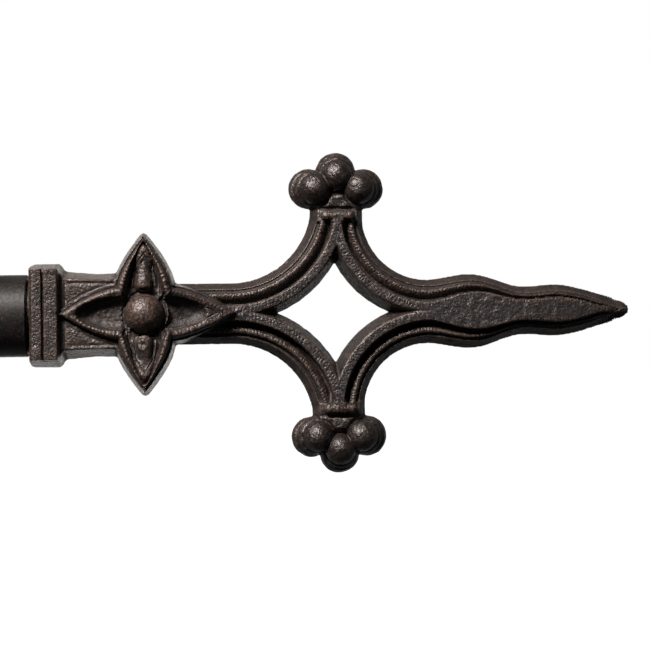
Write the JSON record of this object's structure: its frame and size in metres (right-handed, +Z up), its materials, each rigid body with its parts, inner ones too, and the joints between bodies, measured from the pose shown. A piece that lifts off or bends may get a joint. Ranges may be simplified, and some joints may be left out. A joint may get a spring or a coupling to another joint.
{
  "type": "curtain pole finial",
  "caption": "Cast-iron gothic cross finial on a stub of tubular pole: square collar, petalled flower, curved bars round a diamond opening, balled arms and a wavy point.",
  "frame": {"origin": "centre of the pole's cut end, on the pole's axis", "axes": "+X along the pole from its cut end to the finial's tip, +Z up through the cross's upper arm, -Y out of the front relief face"},
  "size_m": [0.2317, 0.0326, 0.0992],
  "materials": {
    "pole": "satin near-black lacquer with a fine brown speckle",
    "finial": "sand-cast skin, near-black with warm brown wear on the edges, waxed"
  },
  "bodies": {
    "root": {"pole": "pole", "finial": "finial"}
  },
  "joints": []
}
